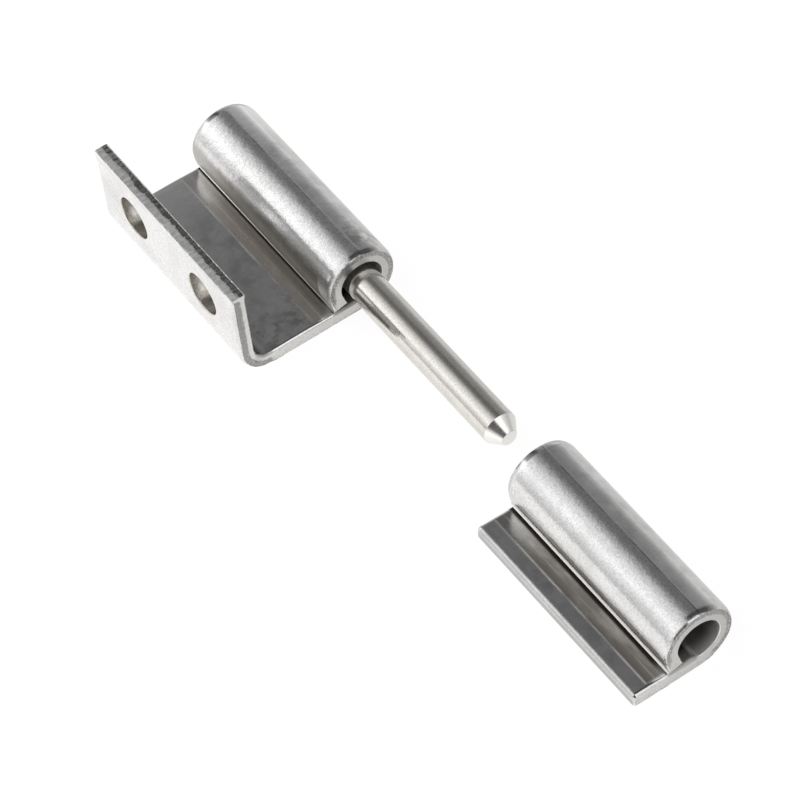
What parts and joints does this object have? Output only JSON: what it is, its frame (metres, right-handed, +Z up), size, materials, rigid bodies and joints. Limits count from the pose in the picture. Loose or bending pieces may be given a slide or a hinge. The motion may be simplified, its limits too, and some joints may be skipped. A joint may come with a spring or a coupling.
{
  "type": "concealed hinge",
  "caption": "Lift-off concealed hinge pulled apart: a U-shaped stainless leaf with a screw flange and a rolled knuckle, a coned pin, and a narrow weld-on leaf with a matching knuckle.",
  "frame": {"origin": "middle of the pulled-apart hinge seen from above, on the surface it lies on", "axes": "+X along the pin axis from the bracket leaf towards the door leaf, +Y from the screw flange towards the knuckle, +Z up from the surface both leaves lie on"},
  "size_m": [0.128, 0.0295, 0.019],
  "materials": {
    "sheet_steel": "tumbled satin stainless steel",
    "pin_steel": "smooth drawn stainless steel"
  },
  "bodies": {
    "bracket": {"bracket_leaf": "sheet_steel"},
    "pin": {"hinge_pin": "pin_steel"},
    "door": {"door_leaf": "sheet_steel"}
  },
  "joints": [
    {"name": "swing", "type": "hinge", "parent": "bracket", "child": "pin", "pos_m": [-0.024, 0.0084, 0.00635], "axis": [-1, 0, 0], "continuous": true},
    {"name": "lift_off", "type": "slide", "parent": "pin", "child": "door", "axis": [1, 0, 0], "range_m": [-0.0478, 0]}
  ]
}
